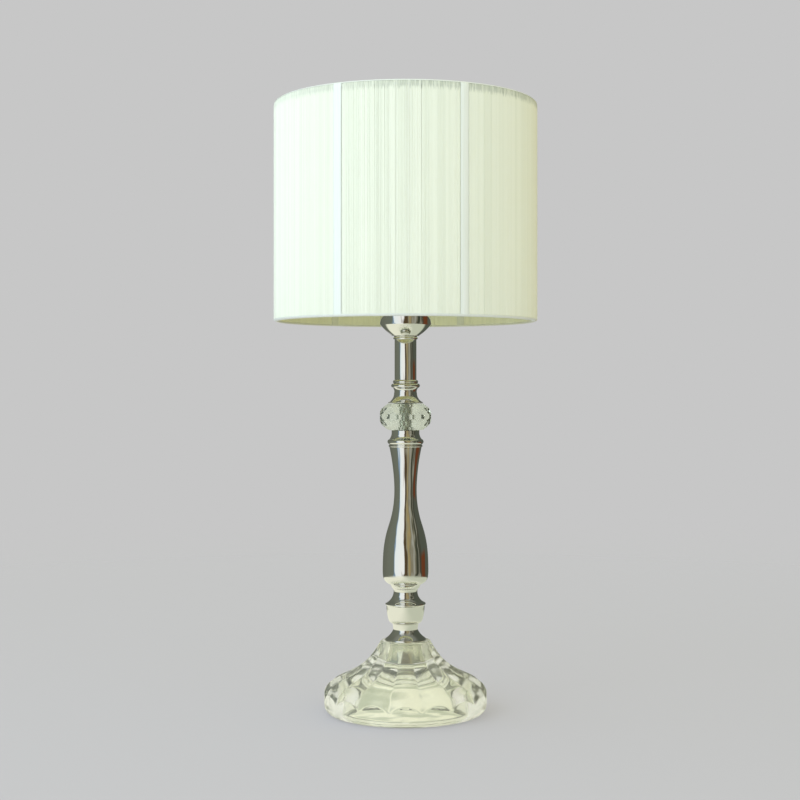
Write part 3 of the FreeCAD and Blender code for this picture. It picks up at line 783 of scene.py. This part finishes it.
def string_panel(name, first, last):
    """One panel of string between two uprights, first and last in radians."""
    count = int((last - first) * (RING_RADIUS + THREAD_LAY) / THREAD_PITCH)
    middle = (np.arange(count) + 0.5) / count * (last - first) + first
    middle += chance.normal(0, 0.05, count) / RING_RADIUS
    middle = np.clip(middle, first + 0.3 / RING_RADIUS, last - 0.3 / RING_RADIUS)
    sides = np.radians(np.arange(SIDES) * 360 / SIDES)
    drift = np.convolve(chance.normal(0.5, 0.45, count + 4), np.ones(5) / 5, "valid")
    places, tones, inner, wired = [], [], [], []
    for angle, shade in zip(middle, drift):
        radius, height, turn, outward, upward = turn_of_string(angle)
        thick = THREAD_RADIUS * chance.uniform(0.94, 1.06)
        r = radius[:, None] + thick * outward[:, None] * np.cos(sides)
        z = height[:, None] + thick * upward[:, None] * np.cos(sides)
        a = turn[:, None] + thick * np.sin(sides) / r
        places.append(np.stack([r * np.cos(a), r * np.sin(a), z], axis=-1).reshape(-1, 3))
        tones.append(np.full(RINGS * SIDES, shade + chance.uniform(-0.12, 0.12)))
        inner.append(np.repeat(np.clip(-outward, 0, 1), SIDES))
        # Painted shade below the top ring, fading down from it and stronger towards the dim right side.
        reach = chance.uniform(3.0, 6.5)
        near_wire = np.clip((height - TOP_RING_Z + reach) / 2, 0, 1) * chance.uniform(0.25, 1.1)
        near_wire *= 0.75 + 0.35 * math.cos(angle)
        wired.append(np.repeat(near_wire, SIDES))
    ring, side = np.meshgrid(np.arange(RINGS), np.arange(SIDES), indexing="ij")
    next_ring, next_side = (ring + 1) % RINGS, (side + 1) % SIDES
    corners = [
        ring * SIDES + side,
        next_ring * SIDES + side,
        next_ring * SIDES + next_side,
        ring * SIDES + next_side,
    ]
    quads = np.stack(corners, axis=-1).reshape(-1, 4)
    faces = (quads[None] + (np.arange(count) * RINGS * SIDES)[:, None, None]).reshape(-1, 4)
    mesh = bpy.data.meshes.new(name)
    mesh.from_pydata((np.concatenate(places) * MM).tolist(), [], faces.tolist())
    for attribute, values in (("thread_tone", tones), ("inner_shade", inner), ("wire_and_shade", wired)):
        mesh.attributes.new(attribute, "FLOAT", "POINT").data.foreach_set("value", np.concatenate(values))
    panel = bpy.data.objects.new(name, mesh)
    bpy.context.collection.objects.link(panel)
    bpy.ops.object.select_all(action="DESELECT")
    panel.select_set(True)
    bpy.context.view_layer.objects.active = panel
    bpy.ops.object.mode_set(mode="EDIT")
    bpy.ops.mesh.select_all(action="SELECT")
    bpy.ops.mesh.normals_make_consistent(inside=False)
    bpy.ops.object.mode_set(mode="OBJECT")
    bpy.ops.object.shade_smooth()
    mesh.materials.append(string)
    return fit(panel, "shade", "string", "string_panels")


after_ribbon = (RIBBON_WIDTH / 2 + 0.2) / RING_RADIUS
before_ribbon = (RIBBON_WIDTH / 2 + 0.1) / RING_RADIUS
for k, angle in enumerate(STRUT_ANGLES):
    following = STRUT_ANGLES[(k + 1) % 6] + (360 if k == 5 else 0)
    first, last = math.radians(angle) + after_ribbon, math.radians(following) - before_ribbon
    string_panel(f"string_panel_{k + 1}", first, last)


# ---------------------------------------------------------------------------
# Ribbon: smooth white tape folded round each upright and over both rings, and
# a narrow tape glued round the top and bottom edges over the turns of string.
RIBBON_LAY = 2.5
EDGE_TAPE_LAY = (2.62, 2.88)
ribbon = new_finish(
    "white_ribbon", (0.94, 0.95, 0.90), Roughness=0.42, Sheen_Weight=0.3, Sheen_Roughness=0.35
)
weave = mottle(ribbon, 700, stretch=(1, 1, 0.03))
tint(ribbon, weave, (0.83, 0.86, 0.78), (0.89, 0.91, 0.85))
# Painted shade: the ribbon's inner side, inside the shade, is darker and yellower.
where = ribbon.node_tree.nodes.new("ShaderNodeTexCoord")
level = ribbon.node_tree.nodes.new("ShaderNodeVectorMath")
level.operation = "MULTIPLY"
level.inputs[1].default_value = (1, 1, 0)
from_axis = ribbon.node_tree.nodes.new("ShaderNodeVectorMath")
from_axis.operation = "LENGTH"
ribbon_inner_shade = ribbon.node_tree.nodes.new("ShaderNodeMapRange")
ribbon_inner_shade.inputs["From Min"].default_value = (RING_RADIUS + 0.5) * MM
ribbon_inner_shade.inputs["From Max"].default_value = (RING_RADIUS - 0.5) * MM
ribbon.node_tree.links.new(where.outputs["Object"], level.inputs[0])
ribbon.node_tree.links.new(level.outputs["Vector"], from_axis.inputs[0])
ribbon.node_tree.links.new(from_axis.outputs["Value"], ribbon_inner_shade.inputs["Value"])
tint_where(ribbon, ribbon_inner_shade.outputs["Result"], (0.82, 0.80, 0.62))
relief(ribbon, weave, 0.00008, 0.5)


def ribbon_upright(name, angle):
    """A tape led once over both rings, drawn as a loop, widened, thickened and eased."""
    loop = []
    for ring_z, first in ((TOP_RING_Z, 0), (BOTTOM_RING_Z, 180)):
        for t in np.radians(range(first, first + 181, 12)):
            loop.append(Vector((RING_RADIUS + RIBBON_LAY * math.cos(t), ring_z + RIBBON_LAY * math.sin(t))))
    bpy.ops.object.select_all(action="DESELECT")
    bpy.ops.mesh.primitive_plane_add(size=MM)
    tape = bpy.context.object
    tape.name = tape.data.name = name
    bpy.ops.object.mode_set(mode="EDIT")
    bpy.ops.mesh.merge(type="CENTER")
    bpy.ops.transform.translate(value=(loop[0].x * MM, -RIBBON_WIDTH / 2 * MM, loop[0].y * MM))
    for here, there in zip(loop, loop[1:] + loop[:1]):
        step = there - here
        bpy.ops.mesh.extrude_vertices_move(TRANSFORM_OT_translate={"value": (step.x * MM, 0, step.y * MM)})
    bpy.ops.mesh.select_all(action="SELECT")
    bpy.ops.mesh.remove_doubles(threshold=1e-6)
    bpy.ops.mesh.extrude_edges_move(TRANSFORM_OT_translate={"value": (0, RIBBON_WIDTH * MM, 0)})
    bpy.ops.mesh.select_all(action="SELECT")
    bpy.ops.mesh.normals_make_consistent(inside=False)
    bpy.ops.transform.rotate(value=-math.radians(angle), orient_axis="Z", center_override=(0, 0, 0))
    bpy.ops.object.mode_set(mode="OBJECT")
    wall = tape.modifiers.new("thickness", "SOLIDIFY")
    wall.thickness = 0.3 * MM
    wall.offset = 0
    easing = tape.modifiers.new("easing", "BEVEL")
    easing.width = 0.1 * MM
    easing.segments = 2
    easing.limit_method = "ANGLE"
    bpy.ops.object.modifier_apply(modifier="thickness")
    bpy.ops.object.modifier_apply(modifier="easing")
    bpy.ops.object.shade_smooth_by_angle(angle=math.radians(40))
    tape.data.materials.append(ribbon)
    return fit(tape, "shade", "ribbon", "struts")


for k, angle in enumerate(STRUT_ANGLES):
    ribbon_upright(f"ribbon_upright_{k + 1}", angle)


def edge_tape(name, node, ring_z, start, end):
    """A narrow tape that follows the turn of the string from one angle to another."""
    angles = np.radians(np.linspace(start, end, 15))
    near, far = EDGE_TAPE_LAY
    outer = [Vector((RING_RADIUS + far * math.cos(t), ring_z + far * math.sin(t))) for t in angles]
    inner = [Vector((RING_RADIUS + near * math.cos(t), ring_z + near * math.sin(t))) for t in angles[::-1]]
    tape = lathe(name, outer + inner + outer[:1], steps=256)
    tape.data.materials.append(ribbon)
    return fit(tape, "shade", "ribbon", node)


edge_tape("top_edge_tape", "top_trim", TOP_RING_Z, start=35, end=145)
edge_tape("bottom_edge_tape", "bottom_trim", BOTTOM_RING_Z, start=-145, end=-15)


# ---------------------------------------------------------------------------
# Studio: a pale table top that fades into a plain grey backdrop, one large soft
# lamp on the left, and a sky that dims to the right. Bright metal and glass see
# a room with a window left of the camera, and a table that glows for them with
# painted cream streaks, lighter to the left: a painted reflection and painted light.
BACKDROP = (0.571, 0.571, 0.571)
# Where the table fades out, in metres from the stem, and how far it glows by itself.
FADE_IN_VIEW = (0.5, 2.2)
FADE_IN_METAL = (0.42, 0.6)
FADE_IN_GLASS = (0.09, 0.16)
GLOW_IN_VIEW = 0.5
GLOW_IN_METAL = 0.88
# Walls of the room: a bearing in degrees, 0 behind the camera, and the colour seen there.
ROOM = [
    (-180, (0.571, 0.571, 0.571)),
    (-174, (0.4, 0.4, 0.38)),
    (-168, (0.13, 0.14, 0.11)),
    (-112, (0.17, 0.18, 0.14)),
    (-72, (0.17, 0.19, 0.15)),
    (-66, (0.25, 0.36, 0.5)),
    (-60, (0.93, 1, 1)),
    (-20, (1, 1, 0.97)),
    (-14, (0.1, 0.07, 0.035)),
    (1, (0.09, 0.06, 0.03)),
    (6, (0.3, 0.28, 0.19)),
    (16, (0.4, 0.31, 0.14)),
    (28, (0.24, 0.22, 0.15)),
    (38, (0.42, 0.42, 0.36)),
    (48, (0.2, 0.19, 0.13)),
    (54, (0.05, 0.055, 0.035)),
    (66, (0.06, 0.065, 0.045)),
    (70, (0.34, 0.33, 0.26)),
    (75, (0.06, 0.06, 0.04)),
    (86, (0.16, 0.05, 0.02)),
    (114, (0.14, 0.045, 0.018)),
    (124, (0.09, 0.1, 0.075)),
    (166, (0.1, 0.11, 0.09)),
    (174, (0.36, 0.36, 0.34)),
    (180, (0.571, 0.571, 0.571)),
]
BRIGHT_SIDE = (1.21, 1.41, 1.55)
DIM_SIDE = (0.65, 0.53, 0.155)
BRIGHT_BEARING = math.radians(-55)
THROUGH_GLASS = (1.0, 1.0, 0.95)
GLASS_SHARE = 0.88
CREAM_IN_REFLECTION = (1.0, 1.0, 0.80)
GREEN_IN_REFLECTION = (0.58, 0.62, 0.46)
ABOVE_RIGHT = (0.09, 0.10, 0.075)
CEILING = (0.26, 0.27, 0.23)
TABLE_PAINT = (0.595, 0.58, 0.65)
# How far, in radians, a slow noise shifts the edges of the walls.
WANDER = 0.9
WANDER_MIDDLE = 0.55
TABLE_RADIUS = 2.6

world = bpy.data.worlds.new("studio")
bpy.context.scene.world = world
world.use_nodes = True
nodes, links = world.node_tree.nodes, world.node_tree.links
nodes.clear()


def new_node(kind, **values):
    """Adds a node to the shader in hand, with its plain settings."""
    node = nodes.new(kind)
    for name, value in values.items():
        setattr(node, name, value)
    return node


way = new_node("ShaderNodeTexCoord")
parts = new_node("ShaderNodeSeparateXYZ")
links.new(way.outputs["Generated"], parts.inputs["Vector"])
behind = new_node("ShaderNodeMath", operation="MULTIPLY")
behind.inputs[1].default_value = -1
links.new(parts.outputs["Y"], behind.inputs[0])
bearing = new_node("ShaderNodeMath", operation="ARCTAN2")
links.new(parts.outputs["X"], bearing.inputs[0])
links.new(behind.outputs[0], bearing.inputs[1])
furnished = new_node("ShaderNodeTexNoise")
furnished.inputs["Scale"].default_value = 2.6
furnished.inputs["Detail"].default_value = 1.5
links.new(way.outputs["Generated"], furnished.inputs["Vector"])
uneven = new_node("ShaderNodeMath", operation="MULTIPLY_ADD")
uneven.inputs[1].default_value = WANDER
links.new(furnished.outputs["Fac"], uneven.inputs[0])
links.new(bearing.outputs[0], uneven.inputs[2])
centred = new_node("ShaderNodeMath", operation="SUBTRACT")
centred.inputs[1].default_value = WANDER_MIDDLE
links.new(uneven.outputs[0], centred.inputs[0])
place = new_node("ShaderNodeMapRange")
place.inputs["From Min"].default_value = -math.pi
place.inputs["From Max"].default_value = math.pi
links.new(centred.outputs[0], place.inputs["Value"])
views = []
upper_room = [(degrees, ABOVE_RIGHT if 80 < degrees < 120 else colour) for degrees, colour in ROOM]
for stops in (ROOM, upper_room):
    walls = new_node("ShaderNodeValToRGB")
    walls.color_ramp.elements.remove(walls.color_ramp.elements[1])
    walls.color_ramp.elements[0].position = 0
    walls.color_ramp.elements[0].color = (*stops[0][1], 1)
    for degrees, colour in stops[1:]:
        stop = walls.color_ramp.elements.new((degrees + 180) / 360)
        stop.color = (*colour, 1)
    links.new(place.outputs["Result"], walls.inputs["Fac"])
    views.append(walls)
upward = new_node("ShaderNodeMapRange")
upward.inputs["From Min"].default_value = -0.03
upward.inputs["From Max"].default_value = 0.03
links.new(parts.outputs["Z"], upward.inputs["Value"])
around = new_node("ShaderNodeMix", data_type="RGBA")
links.new(upward.outputs["Result"], around.inputs["Factor"])
links.new(views[0].outputs["Color"], around.inputs["A"])
links.new(views[1].outputs["Color"], around.inputs["B"])
overhead = new_node("ShaderNodeMapRange", interpolation_type="SMOOTHSTEP")
overhead.inputs["From Min"].default_value = 0.7
overhead.inputs["From Max"].default_value = 0.97
links.new(parts.outputs["Z"], overhead.inputs["Value"])
room = new_node("ShaderNodeMix", data_type="RGBA")
room.inputs["B"].default_value = (*CEILING, 1)
links.new(overhead.outputs["Result"], room.inputs["Factor"])
links.new(around.outputs["Result"], room.inputs["A"])
rays = new_node("ShaderNodeLightPath")
towards = new_node("ShaderNodeVectorMath", operation="DOT_PRODUCT")
towards.inputs[1].default_value = (math.sin(BRIGHT_BEARING), -math.cos(BRIGHT_BEARING), 0)
links.new(way.outputs["Generated"], towards.inputs[0])
side = new_node("ShaderNodeMapRange")
side.inputs["From Min"].default_value = -1
links.new(towards.outputs["Value"], side.inputs["Value"])
sky = new_node("ShaderNodeMix", data_type="RGBA")
sky.inputs["A"].default_value = (*DIM_SIDE, 1)
sky.inputs["B"].default_value = (*BRIGHT_SIDE, 1)
links.new(side.outputs["Result"], sky.inputs["Factor"])
paler = new_node("ShaderNodeMix", data_type="RGBA")
straight_on = new_node("ShaderNodeMapRange")
straight_on.inputs["From Min"].default_value = -0.1
straight_on.inputs["From Max"].default_value = 0.3
straight_on.inputs["To Min"].default_value = 0.0
straight_on.inputs["To Max"].default_value = GLASS_SHARE
links.new(parts.outputs["Y"], straight_on.inputs["Value"])
links.new(straight_on.outputs["Result"], paler.inputs["Factor"])
paler.inputs["B"].default_value = (*THROUGH_GLASS, 1)
lifted = new_node("ShaderNodeGamma")
lifted.inputs["Gamma"].default_value = 0.92
links.new(room.outputs["Result"], lifted.inputs["Color"])
links.new(lifted.outputs["Color"], paler.inputs["A"])
seen = sky
for kind, view in (("Is Glossy Ray", room), ("Is Transmission Ray", paler), ("Is Camera Ray", None)):
    choice = new_node("ShaderNodeMix", data_type="RGBA")
    links.new(rays.outputs[kind], choice.inputs["Factor"])
    links.new(seen.outputs["Result"], choice.inputs["A"])
    if view:
        links.new(view.outputs["Result"], choice.inputs["B"])
    else:
        choice.inputs["B"].default_value = (*BACKDROP, 1)
    seen = choice
glow = new_node("ShaderNodeBackground")
links.new(seen.outputs["Result"], glow.inputs["Color"])
out = new_node("ShaderNodeOutputWorld")
links.new(glow.outputs["Background"], out.inputs["Surface"])

bpy.ops.object.select_all(action="DESELECT")
bpy.ops.mesh.primitive_circle_add(
    vertices=128, radius=TABLE_RADIUS, fill_type="NGON", location=(0, 0, -0.0003)
)
floor = bpy.context.object
floor.name = "table_top"
bpy.ops.object.transform_apply(location=True)
table_paint = bpy.data.materials.new("table_paint")
table_paint.use_nodes = True
nodes, links = table_paint.node_tree.nodes, table_paint.node_tree.links
paint = nodes["Principled BSDF"]
paint.inputs["Base Color"].default_value = (*TABLE_PAINT, 1)
paint.inputs["Roughness"].default_value = 0.8
paint.inputs["Specular IOR Level"].default_value = 0.1
clear = new_node("ShaderNodeBsdfTransparent")
blend = new_node("ShaderNodeMixShader")
where = new_node("ShaderNodeTexCoord")
reach = new_node("ShaderNodeVectorMath", operation="LENGTH")
links.new(where.outputs["Object"], reach.inputs[0])
rays = new_node("ShaderNodeLightPath")
fades = []
for start, end in (FADE_IN_VIEW, FADE_IN_METAL, FADE_IN_GLASS):
    fade = new_node("ShaderNodeMapRange", interpolation_type="SMOOTHSTEP")
    fade.inputs["From Min"].default_value = start
    fade.inputs["From Max"].default_value = end
    links.new(reach.outputs["Value"], fade.inputs["Value"])
    fades.append(fade)
in_view, in_mirror, in_glass = fades
choose = new_node("ShaderNodeMix")
links.new(rays.outputs["Is Glossy Ray"], choose.inputs["Factor"])
links.new(in_view.outputs["Result"], choose.inputs["A"])
links.new(in_mirror.outputs["Result"], choose.inputs["B"])
pale = new_node("ShaderNodeEmission")
in_metal = new_node("ShaderNodeMix", data_type="RGBA")
in_metal.inputs["A"].default_value = (*BACKDROP, 1)
# Painted reflection: reflected rays see the table glow in cream and green streaks near the stem and, farther
# out, lighter to the left as if lit by the window.
streaks = new_node("ShaderNodeTexNoise")
streaks.inputs["Scale"].default_value = 38
streaks.inputs["Detail"].default_value = 1.5
links.new(where.outputs["Object"], streaks.inputs["Vector"])
contrast = new_node("ShaderNodeMapRange")
contrast.inputs["From Min"].default_value = 0.42
contrast.inputs["From Max"].default_value = 0.58
links.new(streaks.outputs["Fac"], contrast.inputs["Value"])
painted_reflection = new_node("ShaderNodeMix", data_type="RGBA")
painted_reflection.inputs["A"].default_value = (*GREEN_IN_REFLECTION, 1)
painted_reflection.inputs["B"].default_value = (*CREAM_IN_REFLECTION, 1)
calm = new_node("ShaderNodeMix")
sides = new_node("ShaderNodeSeparateXYZ")
links.new(where.outputs["Object"], sides.inputs["Vector"])
lit_from_left = new_node("ShaderNodeMapRange", interpolation_type="SMOOTHSTEP")
lit_from_left.inputs["From Min"].default_value = 0.16
lit_from_left.inputs["From Max"].default_value = -0.16
lit_from_left.inputs["To Min"].default_value = 0.1
links.new(sides.outputs["X"], lit_from_left.inputs["Value"])
links.new(lit_from_left.outputs["Result"], calm.inputs["B"])
links.new(in_glass.outputs["Result"], calm.inputs["Factor"])
links.new(contrast.outputs["Result"], calm.inputs["A"])
links.new(calm.outputs["Result"], painted_reflection.inputs["Factor"])
links.new(painted_reflection.outputs["Result"], in_metal.inputs["B"])
links.new(rays.outputs["Is Glossy Ray"], in_metal.inputs["Factor"])
links.new(in_metal.outputs["Result"], pale.inputs["Color"])
glow_in_metal = new_node("ShaderNodeMath", operation="MULTIPLY")
glow_in_metal.inputs[1].default_value = GLOW_IN_METAL
links.new(rays.outputs["Is Glossy Ray"], glow_in_metal.inputs[0])
glow_share = new_node("ShaderNodeMath", operation="MULTIPLY_ADD")
glow_share.inputs[1].default_value = GLOW_IN_VIEW
links.new(rays.outputs["Is Camera Ray"], glow_share.inputs[0])
links.new(glow_in_metal.outputs["Value"], glow_share.inputs[2])
evened = new_node("ShaderNodeMixShader")
links.new(glow_share.outputs["Value"], evened.inputs["Fac"])
links.new(paint.outputs["BSDF"], evened.inputs[1])
links.new(pale.outputs["Emission"], evened.inputs[2])
through = new_node("ShaderNodeMix")
links.new(rays.outputs["Is Transmission Ray"], through.inputs["Factor"])
links.new(choose.outputs["Result"], through.inputs["A"])
links.new(in_glass.outputs["Result"], through.inputs["B"])
links.new(through.outputs["Result"], blend.inputs["Fac"])
links.new(evened.outputs["Shader"], blend.inputs[1])
links.new(clear.outputs["BSDF"], blend.inputs[2])
links.new(blend.outputs["Shader"], nodes["Material Output"].inputs["Surface"])
floor.data.materials.append(table_paint)


def soft_lamp(name, place, aim, size, power, colour):
    """A square lamp that lights the scene but isn't mirrored in it."""
    light = bpy.data.lights.new(name, "AREA")
    light.size = size
    light.energy = power
    light.color = colour
    lamp = bpy.data.objects.new(name, light)
    lamp.location = place
    lamp.rotation_euler = (Vector(aim) - Vector(place)).to_track_quat("-Z", "Y").to_euler()
    lamp.visible_glossy = False
    bpy.context.collection.objects.link(lamp)


soft_lamp(
    "window_light", place=(-1.5, -1.5, 1.2), aim=(0, 0, 0.4), size=1.3, power=8, colour=(0.78, 0.90, 1.0)
)


# ---------------------------------------------------------------------------
# Camera: level, 309 mm above the table and 1.42 m from the stem, as recovered
# from the ellipses of the shade's rings and the foot's rim.
SENSOR_WIDTH = 36
PICTURE_WIDTH = 800
FOCAL_PIXELS = 1488
lens = bpy.data.cameras.new("view")
lens.sensor_width = SENSOR_WIDTH
lens.lens = SENSOR_WIDTH * FOCAL_PIXELS / PICTURE_WIDTH
lens.shift_x = -5.5 / PICTURE_WIDTH
lens.shift_y = -13.5 / PICTURE_WIDTH
camera = bpy.data.objects.new("view", lens)
camera.location = (0, -1.415, 0.3087)
camera.rotation_euler = (math.pi / 2, 0, 0)
bpy.context.collection.objects.link(camera)
bpy.context.scene.camera = camera
bpy.context.scene.view_settings.view_transform = "Standard"
